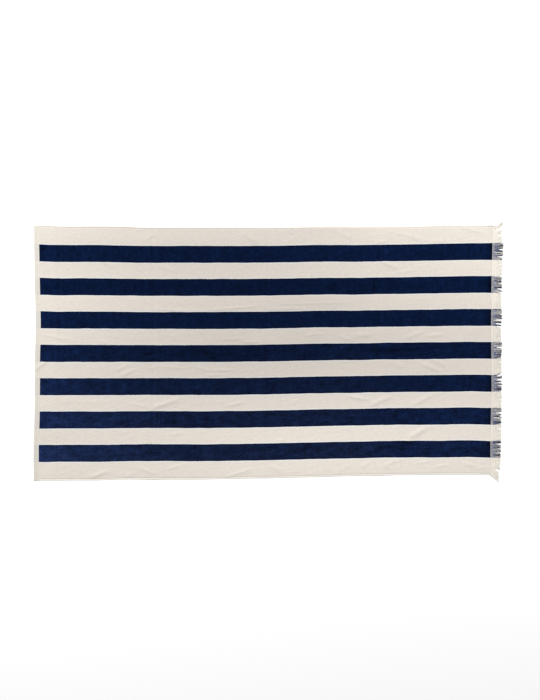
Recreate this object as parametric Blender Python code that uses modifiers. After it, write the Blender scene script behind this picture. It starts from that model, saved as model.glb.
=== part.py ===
"""Beach towel, laid flat on the ground.

Two pieces: the towel cloth, a pile weave with turned side hems and a flat
woven, hemmed left end; and the fringed right end, a flat woven strip whose
warp ends are cut into locks.

Frame: +X along the towel towards the fringe, +Y across it, +Z up. The ground
is z = 0 and the origin is the middle of the towel's footprint. Tables are in
millimetres; MM turns a millimetre into Blender's metre.
"""

import math
import random
from collections import namedtuple

import bmesh
import bpy
import numpy as np
from mathutils import Vector
from mathutils.geometry import delaunay_2d_cdt

MM = 0.001

# ---------------------------------------------------------------- sizes, mm
PILE_LENGTH = 1780.0      # edge of the left hem to the end of the pile
TOWEL_WIDTH = 980.0       # mean width, side hem to side hem
PILE_THICK = 3.0          # ground weave with the pile on its two sides

HEM_HEADING = 22.0        # flat woven heading at the left end, hem included
SIDE_HEM = 10.0           # turned side hem, up to the full pile
EDGE_SLACK = 0.1          # a point this close to a hem's line counts as on it

STRIP_WIDTH = 20.0        # flat woven strip past the end of the pile
STRIP_THICK = 1.2
CLOTH_GAP = 0.3           # strip to cloth
STRIP_NEAR_FLARE = 17.0   # how far the strip's near corner spreads outwards
STRIP_FLARE_REACH = 45.0  # stretch of its edge that the spread fades over

LOCK_COUNT = 190
LOCK_WIDTHS = (3.0, 2.7, 2.2, 1.2)   # at even steps from root to tip
LOCK_TIP_THICK = 0.8
LOCK_FULL_STRETCH = 2.0   # full thickness from the root on
LOCK_BEND = 1.6           # above 1 a lock leaves its root straight
LOCK_SIDE_JITTER = 0.35
LOCK_LENGTH_JITTER = 1.5
SEED = 7
WELD_DISTANCE = 0.02

COTTON_ROUGHNESS = 0.95
PILE_CREAM = (0.76, 0.71, 0.64)
STRIP_GREY_CREAM = (0.60, 0.58, 0.56)
SMOOTH_BELOW = 40.0       # degrees between faces that shade as one

# ------------------------------------------------- outline as the towel lies
# along: distance from the left hem's edge. near, far: the two long edges on Y.
Station = namedtuple("Station", "along near far")
LONG_EDGES = [
    Station(0, -506.0, 491.5),
    Station(100, -504.7, 487.0),
    Station(256, -504.0, 486.7),
    Station(340, -500.9, 485.5),
    Station(412, -500.8, 483.3),
    Station(646, -500.8, 482.8),
    Station(802, -497.6, 483.2),
    Station(958, -493.7, 483.7),
    Station(1114, -490.6, 485.7),
    Station(1270, -486.4, 485.5),
    Station(1426, -484.0, 485.3),
    Station(1582, -482.2, 488.8),
    Station(1738, -482.8, 489.5),
    Station(1780, -484.2, 490.6),
]

# across: from the near long edge, 0, to the far one, 1. hem, pile: the left
# hem's edge and the end of the pile on X.
EndStation = namedtuple("EndStation", "across hem pile")
SHORT_EDGES = [
    EndStation(0.00, -916.1, 864.0),
    EndStation(0.15, -916.0, 863.8),
    EndStation(0.25, -912.6, 866.2),
    EndStation(0.38, -911.4, 868.7),
    EndStation(0.50, -910.8, 867.4),
    EndStation(0.57, -908.5, 865.6),
    EndStation(0.67, -909.3, 866.9),
    EndStation(0.78, -911.8, 868.2),
    EndStation(0.90, -913.6, 870.9),
    EndStation(1.00, -915.4, 871.5),
]

# ---------------------------------------------------------- folds and creases
# A crease is a soft ridge that the cloth lifts into. along and across give its
# middle (across from the towel's centre line), heading its run in degrees.
Crease = namedtuple("Crease", "along across heading length width rise")
CREASES = [
    Crease(510, -195, 23, 150, 34, 4.5),      # strongest, left of the middle
    Crease(426, -199, -28, 85, 28, 2.6),      # its short arm, making a low V
    Crease(192, -188, 0, 300, 30, 1.8),       # long faint wave from the hem
    Crease(30, -61, 45, 70, 26, 3.4),         # at the left hem
    Crease(67, 56, -1, 120, 26, 2.2),
    Crease(299, 52, -9, 95, 26, 2.0),
    Crease(350, -65, 30, 78, 24, 2.6),        # a pair side by side
    Crease(385, -72, 30, 78, 24, 2.6),
    Crease(452, 450, 42, 66, 26, 2.4),        # along the far side
    Crease(836, 446, -45, 84, 28, 3.0),
    Crease(1044, 446, -19, 135, 34, 2.6),
    Crease(1464, 446, -35, 84, 28, 2.8),
    Crease(1382, 337, -23, 86, 28, 2.6),
    Crease(758, -192, 14, 120, 30, 2.2),
    Crease(1551, -65, -27, 100, 28, 2.8),     # towards the fringe
    Crease(1329, -200, 26, 104, 28, 3.8),
    Crease(1512, -199, 31, 106, 28, 3.8),
    Crease(1489, -328, 32, 120, 30, 4.5),
    Crease(1317, -393, 50, 76, 26, 3.0),
    Crease(260, -462, 19, 88, 28, 2.4),       # along the near side
    Crease(426, -441, 23, 112, 30, 2.8),
    Crease(783, -458, 21, 98, 28, 2.4),
]
CREASE_ROWS = (-0.7, -0.3, 0.0, 0.3, 0.7)                  # of a crease's width
CREASE_STOPS = (-1.0, -0.72, -0.38, 0.0, 0.38, 0.72, 1.0)  # of half its length
CREASE_MARGIN = 8.0       # the mesh's grid stops this far short of a crease
POINT_SPACING = 5.0       # least distance between the points of two creases
MERGE_DISTANCE = 0.01     # points closer than this are one
LIES_FLAT_BELOW = 0.2     # a lift under this is let down to the ground

# Lines pressed in where the towel was folded in four: a low ridge across it.
PressedFold = namedtuple("PressedFold", "along rise")
PRESSED_FOLDS = [
    PressedFold(452, 1.2),
    PressedFold(896, 1.0),
    PressedFold(1342, 1.2),
]
FOLD_REACH = 43.0         # from the ridge down to the ground
COLUMNS_BETWEEN_FOLDS = 10
BODY_ROWS = 24

# ------------------------------------------------------- thickness by the edges
# inset: distance in from the edge of the cloth.
Edge = namedtuple("Edge", "inset thick")
LEFT_HEM_PROFILE = [
    Edge(0.0, 1.6),          # rounded fold of the hem
    Edge(2.5, 2.2),          # three layers
    Edge(11.0, 2.2),
    Edge(12.5, 1.4),         # stitched line, then the single flat heading
    Edge(19.5, 1.4),
    Edge(HEM_HEADING, PILE_THICK),
]
SIDE_HEM_PROFILE = [
    Edge(0.0, 1.8),
    Edge(2.0, 2.6),
    Edge(6.2, 2.6),
    Edge(7.4, 1.9),          # stitched line
    Edge(SIDE_HEM, PILE_THICK),
]

# ------------------------------------------------------ how the fringe locks lie
# at: the lock's root on Y. lean: how far its tip is from there on Y. tip: its
# tip on X.
Lie = namedtuple("Lie", "at lean tip")
FRINGE_LIE = [
    Lie(-501, -6.0, 896.0),   # near corner, splayed outwards
    Lie(-478, -8.0, 898.0),
    Lie(-464, -6.0, 899.0),
    Lie(-455, 2.0, 901.0),
    Lie(-371, -2.0, 905.0),
    Lie(-354, 2.0, 906.5),
    Lie(-294, 2.0, 906.0),
    Lie(-265, 0.0, 907.5),
    Lie(-200, 0.0, 906.5),
    Lie(-128, -2.0, 911.0),
    Lie(-116, -2.5, 908.0),
    Lie(-105, 4.0, 910.0),
    Lie(-94, 9.5, 907.0),     # swept towards the far side
    Lie(-54, 6.0, 907.5),
    Lie(12, 1.0, 910.0),
    Lie(43, -1.0, 906.0),
    Lie(97, -6.5, 902.5),     # swept towards the near side
    Lie(128, 0.0, 911.8),
    Lie(172, -1.0, 908.0),
    Lie(222, -8.0, 907.0),
    Lie(232, -8.0, 910.0),
    Lie(240, -3.0, 910.5),
    Lie(330, 0.0, 910.0),
    Lie(385, -1.5, 915.0),
    Lie(412, 0.0, 915.0),
    Lie(427, 2.0, 910.0),
    Lie(455, 6.5, 902.0),
    Lie(470, 6.0, 910.0),
    Lie(481, 16.0, 914.5),    # far corner, a wisp curled outwards
    Lie(491, 16.0, 915.7),
]

# Where the locks part and bare ground shows between their tips.
Parting = namedtuple("Parting", "at opening")
PARTINGS = [
    Parting(-460, 12.0),
    Parting(-361, 9.0),
    Parting(-263, 5.0),
    Parting(-251, 5.0),
    Parting(-120, 6.0),
    Parting(-112, 8.0),
    Parting(-98, 6.0),
    Parting(14, 6.0),
    Parting(107, 7.0),
    Parting(123, 5.0),
    Parting(243, 7.0),
    Parting(368, 6.0),
    Parting(397, 8.0),
    Parting(455, 4.0),
    Parting(476, 8.0),
]
PARTING_REACH = 9.0       # how far a parting pushes the locks beside it


# ------------------------------------------------------------------ the lie
def along_curve(rows, position, key, field):
    """Smooth value of a table's field at a position of its key column."""
    xs = [getattr(row, key) for row in rows]
    ys = [getattr(row, field) for row in rows]
    slopes = np.gradient(ys, xs)
    place = min(max(position, xs[0]), xs[-1])
    right = min(max(int(np.searchsorted(xs, place)), 1), len(xs) - 1)
    left = right - 1
    span = xs[right] - xs[left]
    t = (place - xs[left]) / span
    start = ys[left] * (1 + 2 * t) * (1 - t) ** 2 + slopes[left] * span * t * (1 - t) ** 2
    end = ys[right] * t * t * (3 - 2 * t) + slopes[right] * span * t * t * (t - 1)
    return start + end


def place_on_ground(along, across):
    """Where a point of the flat cloth lies on X and Y; across is -490 to 490."""
    share = across / TOWEL_WIDTH + 0.5
    hem = along_curve(SHORT_EDGES, share, "across", "hem")
    pile = along_curve(SHORT_EDGES, share, "across", "pile")
    near = along_curve(LONG_EDGES, along, "along", "near")
    far = along_curve(LONG_EDGES, along, "along", "far")
    return hem + (pile - hem) * along / PILE_LENGTH, near + (far - near) * share


def crease_frame(crease, along, across):
    """Distances of a point along and aside of a crease's line."""
    angle = math.radians(crease.heading)
    dx, dy = along - crease.along, across - crease.across
    run = dx * math.cos(angle) + dy * math.sin(angle)
    aside = dy * math.cos(angle) - dx * math.sin(angle)
    return run, aside


def cloth_lift(along, across):
    """Height of the cloth's underside over the ground."""
    lift = 0.0
    for crease in CREASES:
        run, aside = crease_frame(crease, along, across)
        fade = 1.0 - (2.0 * run / crease.length) ** 2
        if fade > 0.0:
            lift += crease.rise * fade * math.exp(-2.0 * (2.0 * aside / crease.width) ** 2)
    for fold in PRESSED_FOLDS:
        lift += fold.rise * max(0.0, 1.0 - abs(along - fold.along) / FOLD_REACH)
    return lift if lift > LIES_FLAT_BELOW else 0.0


def cloth_thickness(along, across):
    """Thickness of the cloth: the pile, thinner at the heading and the hems."""
    from_side = TOWEL_WIDTH / 2 - abs(across)
    left = np.interp(along, *zip(*LEFT_HEM_PROFILE))
    side = np.interp(from_side, *zip(*SIDE_HEM_PROFILE))
    return min(left, side)


# ------------------------------------------------------------ the towel cloth
def column_places():
    """Places of the mesh's columns along the cloth."""
    places = [edge.inset for edge in LEFT_HEM_PROFILE]
    stops = [HEM_HEADING] + [fold.along for fold in PRESSED_FOLDS] + [PILE_LENGTH]
    for start, end in zip(stops, stops[1:]):
        places += list(np.linspace(start, end, COLUMNS_BETWEEN_FOLDS + 1)[1:])
    return places


def row_places():
    """Places of the mesh's rows across the cloth, from its centre line."""
    half = TOWEL_WIDTH / 2
    insets = [edge.inset for edge in SIDE_HEM_PROFILE]
    near = [inset - half for inset in insets]
    body = list(np.linspace(SIDE_HEM - half, half - SIDE_HEM, BODY_ROWS + 1)[1:-1])
    far = [half - inset for inset in reversed(insets)]
    return near + body + far


def in_hems(along, across):
    """Whether a point lies in the heading or a side hem, edges included."""
    from_side = TOWEL_WIDTH / 2 - abs(across)
    return along < HEM_HEADING + EDGE_SLACK or from_side < SIDE_HEM + EDGE_SLACK


def clear_of_creases(along, across):
    for crease in CREASES:
        run, aside = crease_frame(crease, along, across)
        beside = CREASE_ROWS[-1] * crease.width + CREASE_MARGIN
        if abs(run) < crease.length / 2 + CREASE_MARGIN and abs(aside) < beside:
            return False
    return True


def crease_points():
    """Mesh points in rows along each crease, so that its ridge runs clean."""
    points = []
    for crease in CREASES:
        angle = math.radians(crease.heading)
        for share in CREASE_STOPS:
            rows = [0.0] if abs(share) == 1.0 else CREASE_ROWS
            for row in rows:
                run, aside = share * crease.length / 2, row * crease.width
                along = crease.along + run * math.cos(angle) - aside * math.sin(angle)
                across = crease.across + run * math.sin(angle) + aside * math.cos(angle)
                spot = (along, across)
                inside = HEM_HEADING + CREASE_MARGIN / 2 < along
                inside = inside and abs(across) < TOWEL_WIDTH / 2 - SIDE_HEM - CREASE_MARGIN / 2
                if inside and all(math.dist(spot, other) > POINT_SPACING for other in points):
                    points.append(spot)
    return points


def flat_cloth_mesh():
    """Triangles of the flat cloth, along and across in millimetres.

    A grid carries the hems and the open cloth, and gives way to rows of points
    along each crease. The lines of the hems are kept as edges.
    """
    columns, rows = column_places(), row_places()
    points, index = [], {}
    for column, along in enumerate(columns):
        for row, across in enumerate(rows):
            if in_hems(along, across) or clear_of_creases(along, across):
                index[column, row] = len(points)
                points.append((along, across))
    hem_lines = []
    for (column, row), here in index.items():
        for neighbour in ((column + 1, row), (column, row + 1)):
            there = index.get(neighbour)
            if there is not None and in_hems(*points[here]) and in_hems(*points[there]):
                hem_lines.append((here, there))
    flat = [Vector(point) for point in points + crease_points()]
    laid_out = delaunay_2d_cdt(flat, hem_lines, [], 0, MERGE_DISTANCE)
    verts, faces = laid_out[0], laid_out[2]
    data = bpy.data.meshes.new("towel_cloth")
    data.from_pydata([vert.to_3d() for vert in verts], [], faces)
    return data


def make_cloth(collection):
    data = flat_cloth_mesh()
    thicknesses = []
    for vert in data.vertices:
        along, across = vert.co.x, vert.co.y
        x, y = place_on_ground(along, across)
        vert.co = (x * MM, y * MM, cloth_lift(along, across) * MM)
        thicknesses.append(cloth_thickness(along, across))
    data.shade_smooth()
    data.set_sharp_from_angle(angle=math.radians(SMOOTH_BELOW))
    cloth = bpy.data.objects.new("towel_cloth", data)
    collection.objects.link(cloth)

    group = cloth.vertex_groups.new(name="thickness")
    for index, thick in enumerate(thicknesses):
        group.add([index], thick / PILE_THICK, 'REPLACE')
    shell = cloth.modifiers.new("thickness", 'SOLIDIFY')
    shell.thickness = PILE_THICK * MM
    shell.offset = 1.0
    shell.vertex_group = group.name
    shell.thickness_vertex_group = 0.0
    return cloth


# ------------------------------------------------------------ the fringed end
def strip_root(across):
    """A point of the strip's outer edge, where the locks are rooted."""
    x, y = place_on_ground(PILE_LENGTH, across)
    from_near = across + TOWEL_WIDTH / 2
    spread = max(0.0, 1.0 - from_near / STRIP_FLARE_REACH) ** 1.5
    return x + STRIP_WIDTH, y - STRIP_NEAR_FLARE * spread


def parting_push(at):
    """How far the partings move a lock's tip aside."""
    push = 0.0
    for parting in PARTINGS:
        away = at - parting.at
        side = 1.0 if away >= 0.0 else -1.0
        push += side * parting.opening / 2 * math.exp(-abs(away) / PARTING_REACH)
    return push


def lock_outline(root_x, root_y, chance):
    """Outline of one lock, from its near root corner round its tip to its far one."""
    aside = along_curve(FRINGE_LIE, root_y, "at", "lean") + parting_push(root_y)
    aside += chance.uniform(-LOCK_SIDE_JITTER, LOCK_SIDE_JITTER)
    reach = along_curve(FRINGE_LIE, root_y, "at", "tip") - root_x
    reach += chance.uniform(-LOCK_LENGTH_JITTER, 0.0)
    near, far = [], []
    for step, width in enumerate(LOCK_WIDTHS):
        t = step / (len(LOCK_WIDTHS) - 1)
        x = root_x + reach * t
        y = root_y + aside * t ** LOCK_BEND
        near.append((x, y - width / 2))
        far.append((x, y + width / 2))
    return near + far[::-1]


def fringe_outline():
    """The strip and its locks as one outline, counter-clockwise from the near side."""
    half = TOWEL_WIDTH / 2
    chance = random.Random(SEED)
    points = []
    pitch = TOWEL_WIDTH / LOCK_COUNT
    for index in range(LOCK_COUNT):
        root_x, root_y = strip_root(-half + pitch * (index + 0.5))
        points += lock_outline(root_x, root_y, chance)
    for row in reversed(row_places()):
        x, y = place_on_ground(PILE_LENGTH, row)
        points.append((x + CLOTH_GAP, y))
    return points


def make_fringe(collection):
    outline = fringe_outline()
    curve = bpy.data.curves.new("fringe_outline", 'CURVE')
    curve.dimensions = '2D'
    curve.fill_mode = 'BOTH'
    curve.extrude = STRIP_THICK / 2 * MM
    spline = curve.splines.new('POLY')
    spline.points.add(len(outline) - 1)
    for point, (x, y) in zip(spline.points, outline):
        point.co = (x * MM, y * MM, 0.0, 1.0)
    spline.use_cyclic_u = True
    flat = bpy.data.objects.new("fringe_outline", curve)
    collection.objects.link(flat)

    depsgraph = bpy.context.evaluated_depsgraph_get()
    data = bpy.data.meshes.new_from_object(flat.evaluated_get(depsgraph))
    bpy.data.objects.remove(flat)
    mesh = bmesh.new()
    mesh.from_mesh(data)
    bmesh.ops.remove_doubles(mesh, verts=mesh.verts[:], dist=WELD_DISTANCE * MM)
    thin_the_tips(mesh)
    mesh.to_mesh(data)
    mesh.free()
    data.name = "fringe"
    fringe = bpy.data.objects.new("fringe", data)
    collection.objects.link(fringe)
    return fringe


def thin_the_tips(mesh):
    """Set the underside on the ground, and slope the locks' tops to thin tips."""
    near, far = LONG_EDGES[-1].near, LONG_EDGES[-1].far
    for vert in mesh.verts:
        if vert.co.z < 0.0:
            vert.co.z = 0.0
            continue
        share = (vert.co.y / MM - near) / (far - near)
        root_x = along_curve(SHORT_EDGES, share, "across", "pile") + STRIP_WIDTH
        past_root = vert.co.x / MM - root_x - LOCK_FULL_STRETCH
        fade = min(max(past_root / STRIP_WIDTH, 0.0), 1.0)
        vert.co.z = (STRIP_THICK + (LOCK_TIP_THICK - STRIP_THICK) * fade) * MM


# ------------------------------------------------------------------ materials
def cotton(name, colour):
    material = bpy.data.materials.new(name)
    material.use_nodes = True
    shader = material.node_tree.nodes["Principled BSDF"]
    shader.inputs["Base Color"].default_value = (*colour, 1.0)
    shader.inputs["Roughness"].default_value = COTTON_ROUGHNESS
    shader.inputs["Metallic"].default_value = 0.0
    return material


def main():
    for old in list(bpy.data.objects):
        bpy.data.objects.remove(old, do_unlink=True)
    collection = bpy.data.collections.new("beach_towel")
    bpy.context.scene.collection.children.link(collection)

    cloth = make_cloth(collection)
    cloth.data.materials.append(cotton("striped_pile_cotton", PILE_CREAM))
    fringe = make_fringe(collection)
    fringe.data.materials.clear()
    fringe.data.materials.append(cotton("flat_woven_cotton", STRIP_GREY_CREAM))


main()
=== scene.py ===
# %% [markdown]
# # A striped beach towel, laid flat
#
# The towel is one cotton cloth, about 1.8 m by 1 m, seen from straight above.
# Its face is cut-pile velour in cream and navy stripes. The left end and the two
# long sides are turned and stitched, and the right end runs out into a flat
# woven band whose warp yarns are left free as a fringe.
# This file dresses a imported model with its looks, one piece at a time.

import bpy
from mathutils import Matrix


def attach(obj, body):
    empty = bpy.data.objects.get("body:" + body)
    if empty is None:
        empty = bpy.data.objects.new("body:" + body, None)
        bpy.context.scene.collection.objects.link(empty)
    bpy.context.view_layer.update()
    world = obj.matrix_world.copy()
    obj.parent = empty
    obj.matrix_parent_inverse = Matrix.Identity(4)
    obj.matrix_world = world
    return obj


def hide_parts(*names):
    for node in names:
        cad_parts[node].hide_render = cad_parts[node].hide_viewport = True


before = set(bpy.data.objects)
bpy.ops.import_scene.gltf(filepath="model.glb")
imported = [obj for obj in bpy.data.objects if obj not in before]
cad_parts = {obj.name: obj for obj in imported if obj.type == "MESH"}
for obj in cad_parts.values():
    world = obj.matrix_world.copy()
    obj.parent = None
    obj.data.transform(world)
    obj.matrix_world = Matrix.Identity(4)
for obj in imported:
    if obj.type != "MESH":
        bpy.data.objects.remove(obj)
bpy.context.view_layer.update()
print("solids loaded:", sorted(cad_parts))

# %% Modules, units and tables
import math
import random
from collections import namedtuple
from functools import partial

import bpy
import numpy as np
from mathutils import Vector, noise

MM = 0.001  # tables are in millimetres; Blender's unit is the metre

scene = bpy.context.scene


def new_object(name, data):
    """An object in the scene, for a mesh, a lamp or a camera."""
    made = bpy.data.objects.new(name, data)
    scene.collection.objects.link(made)
    return made


def table(columns, *rows, defaults=()):
    """The rows of a table whose columns have names."""
    Row = namedtuple("Row", columns, defaults=defaults)
    return [Row(*row) for row in rows]


# %% [markdown]
# ## Helpers
#
# Colours are sRGB hex values, as a colour chart gives them, and one function makes
# the linear values that Blender's sockets want. Materials and Geometry Nodes are
# both node trees, so one function that adds a node builds them all. Its inputs go
# by name, or in the order in which the node shows them: a Map Range takes a value,
# the two ends it comes from and the two it goes to, a noise its place, scale,
# detail and roughness. A node given as an input stands for its first output.

# %% Colour and node helpers
MATH, VECTOR, RANGE = 'ShaderNodeMath', 'ShaderNodeVectorMath', 'ShaderNodeMapRange'
NOISE, MIX, BUMP = 'ShaderNodeTexNoise', 'ShaderNodeMix', 'ShaderNodeBump'
SPLIT, JOIN, GROUP = 'ShaderNodeSeparateXYZ', 'ShaderNodeCombineXYZ', 'ShaderNodeGroup'
NAMED = 'GeometryNodeInputNamedAttribute'
MAIN_CHOICES = {MATH: "operation", VECTOR: "operation", RANGE: "interpolation_type",
                MIX: "data_type", NAMED: "data_type"}


def linear(hex_colour):
    """Blender's linear colour for a hex value such as "#16264a", by the sRGB standard."""
    channels = []
    for start in (1, 3, 5):
        value = int(hex_colour[start:start + 2], 16) / 255
        curved = ((value + 0.055) / 1.055) ** 2.4
        channels.append(value / 12.92 if value <= 0.04045 else curved)
    return (*channels, 1.0)


def in_use(sockets):
    """The sockets that a node's settings leave in use."""
    return [socket for socket in sockets if socket.enabled]


def wire(node, values):
    """Fill a node's inputs, by name or in order, with values, hex colours, sockets or nodes."""
    if isinstance(values, dict):
        values = [(node.inputs[name], value) for name, value in values.items()]
    else:
        values = zip(in_use(node.inputs), values)
    for socket, value in values:
        if isinstance(value, str) and value.startswith("#"):
            value = linear(value)
        if isinstance(value, bpy.types.Node):
            value = in_use(value.outputs)[0]
        if isinstance(value, bpy.types.NodeSocket):
            node.id_data.links.new(value, socket)
        else:
            socket.default_value = value


def add_node(tree, kind, inputs=(), choice=None, **settings):
    """Add a node to a tree, with its inputs, the main choice of its kind and other settings."""
    made = tree.nodes.new(kind)
    if choice:
        settings[MAIN_CHOICES[kind]] = choice
    for name, value in settings.items():
        setattr(made, name, value)
    wire(made, inputs)
    return made


def new_material(name, values):
    """A material with plain values on its shader, a function that adds its nodes, and its shader."""
    material = bpy.data.materials.new(name)
    material.use_nodes = True
    shader = material.node_tree.nodes["Principled BSDF"]
    wire(shader, values)
    return material, partial(add_node, material.node_tree), shader


print("cream as linear colour:", [round(c, 3) for c in linear("#e6dccf")])

# %% [markdown]
# ## Camera
#
# The towel is seen from straight above, so every side of it runs true, and a long
# lens far away keeps its edges parallel. It is 1.83 m long over its fringe and
# spans 470 of the picture's 540 pixels, so a pixel is 3.9 mm; that sets how far
# away the camera is.

# %% Camera straight above
PICTURE_HEIGHT = 700  # pixels, the picture's longer side
MM_PER_PIXEL = 3.9
LENS = 85.0  # mm
SENSOR = 36.0  # mm, on the picture's longer side
FARTHEST = 50.0  # m, the most that the camera sees
TOWEL_ASIDE = Vector((7.0, 4.3)) * MM  # the picture's middle, from the towel's

view_height = PICTURE_HEIGHT * MM_PER_PIXEL * MM
camera_data = bpy.data.cameras.new("above")
camera_data.lens = LENS
camera_data.sensor_width = SENSOR
camera_data.clip_end = FARTHEST
camera = new_object("above", camera_data)
camera.location = (*TOWEL_ASIDE, view_height * LENS / SENSOR)
scene.camera = camera
print("camera height:", round(camera.location.z, 2), "m")

# %% [markdown]
# ## Floor and light
#
# The ground is a plain white sheet of paper, lit until it is clean white. A key
# light from the upper left gives each crease a bright side and a dark one, and a
# weaker fill on the right keeps the dark sides open. The Standard view keeps
# white paper white, where AgX would grey it.

# %% Floor and light
SOFTBOXES = table(
    "name place size watts",  # places and sizes in metres
    ("key", (-2.9, 2.7, 3.2), 1.4, 220.0),
    ("fill", (3.0, 1.6, 2.6), 1.4, 80.0),
)
SKY_STRENGTH = 0.46
FLOOR_SIZE = 24.0  # m
PAPER = {"Base Color": "#fefefe", "Roughness": 0.9}

scene.view_settings.view_transform = 'Standard'
for box in SOFTBOXES:
    light = bpy.data.lights.new(box.name, 'AREA')
    light.size = box.size
    light.energy = box.watts
    softbox = new_object(box.name, light)
    softbox.location = box.place
    softbox.rotation_euler = Vector(box.place).to_track_quat('Z', 'Y').to_euler()
    softbox.visible_camera = False

scene.world = bpy.data.worlds.new("studio")
scene.world.use_nodes = True
sky = scene.world.node_tree.nodes["Background"]
wire(sky, {"Color": "#ffffff", "Strength": SKY_STRENGTH})

bpy.ops.mesh.primitive_plane_add(size=FLOOR_SIZE)
floor = bpy.context.object
floor.name = "floor"
floor.data.materials.append(new_material("white paper backdrop", PAPER)[0])

# %% [markdown]
# ## How the cloth lies
#
# A towel that is thrown flat is never a rectangle: its sides bow and its ends
# wander by a centimetre. Two short tables say where its edges lie, and every
# point of the flat cloth finds its place between them. "along" runs from the
# left hem to the end of the pile, "across" from the near side to the far one.
# Between its edges the cloth has drifted aside, which a third table gives.

# %% Sizes and outline
PILE_LENGTH = 1780.0  # edge of the left hem to the end of the pile
TOWEL_WIDTH = 980.0
PILE_THICK = 3.0
HEM_HEADING = 21.0  # flat woven heading at the left end
SIDE_HEM = 8.2
SIDE_SEAM = 5.6  # the row of stitches, from each long edge
BAND_WIDTH = 20.0  # flat woven band past the pile
BAND_THICK = 1.0
BAND_TUCK = 1.5  # the band starts this far inside the pile
STRIPE_PERIOD = 128.75  # one navy and one cream stripe
NAVY_WIDTH = 66.0
NAVY_STRIPES = 7
STRIPES_MIDDLE = -0.4  # middle of the fourth navy stripe, on "across"

LONG_EDGES = table(
    "along near far",
    (0, -506, 491.5), (100, -504.7, 487), (256, -504, 486.7), (340, -500.9, 485.5), (412, -500.8, 482.4),
    (646, -500.8, 481.6), (802, -497.6, 481.8), (958, -494.4, 481.9), (1114, -491, 483.7),
    (1270, -486.4, 483.6), (1426, -484, 484.4), (1582, -482.2, 488.8), (1738, -482.8, 489.5),
    (1780, -484.2, 490.6),
)
SHORT_EDGES = table(
    "across hem pile",  # across is 0 at the near side and 1 at the far one
    (0, -914.3, 866.4), (0.15, -914.3, 866.2), (0.25, -911.2, 868.4), (0.38, -910, 870.6),
    (0.5, -909.3, 869.4), (0.57, -907, 868.3), (0.67, -907.6, 869.6), (0.78, -910.5, 870.5),
    (0.9, -912.6, 873.4), (1, -914.6, 874),
)
INNER_DRIFT = table(
    "along aside",
    (0, -0.2), (90, 0.1), (170, 0.7), (264, 0), (326, -1.2), (388, 0), (451, 0.7), (576, 1), (669, 0.3),
    (763, -0.2), (888, -0.4), (981, 0.1), (1137, 0.6), (1262, -0.3), (1371, 0.8), (1465, 0.3),
    (1558, -0.9), (1605, -0.8), (1668, 0.3), (1780, 0),
)
DRIFT_FADE = 60.0  # mm in from the long edges, over which the drift sets in


def along_curve(rows, field, position):
    """Smooth values of a table's field at positions of its first column."""
    xs = np.array([row[0] for row in rows], dtype=float)
    ys = np.array([getattr(row, field) for row in rows], dtype=float)
    slopes = np.gradient(ys, xs)
    place = np.clip(position, xs[0], xs[-1])
    right = np.clip(np.searchsorted(xs, place), 1, len(xs) - 1)
    left = right - 1
    span = xs[right] - xs[left]
    t = (place - xs[left]) / span
    start = ys[left] * (1 + 2 * t) * (1 - t) ** 2 + slopes[left] * span * t * (1 - t) ** 2
    end = ys[right] * t * t * (3 - 2 * t) + slopes[right] * span * t * t * (t - 1)
    return start + end


def place_on_ground(along, across):
    """Where points of the flat cloth lie on X and Y, in mm."""
    share = across / TOWEL_WIDTH + 0.5
    hem, pile = (along_curve(SHORT_EDGES, end, share) for end in ("hem", "pile"))
    near, far = (along_curve(LONG_EDGES, side, along) for side in ("near", "far"))
    inward = np.clip((TOWEL_WIDTH / 2 - np.abs(across)) / DRIFT_FADE, 0.0, 1.0)
    drift = along_curve(INNER_DRIFT, "aside", along) * inward
    return hem + (pile - hem) * along / PILE_LENGTH, near + (far - near) * share + drift


corner = place_on_ground(np.array([0.0]), np.array([TOWEL_WIDTH / 2]))
print("far left corner at", [round(float(c[0]), 1) for c in corner], "mm")

# %% [markdown]
# ## Creases
#
# The cloth lifts into low, soft ridges, most of them slanting. Each is one row:
# where its middle is, which way it runs in degrees, how long, wide and high it
# is. The towel was also stored folded, and each of the four folds across it left
# a low rise with a fine groove pressed in along its top.

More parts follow.
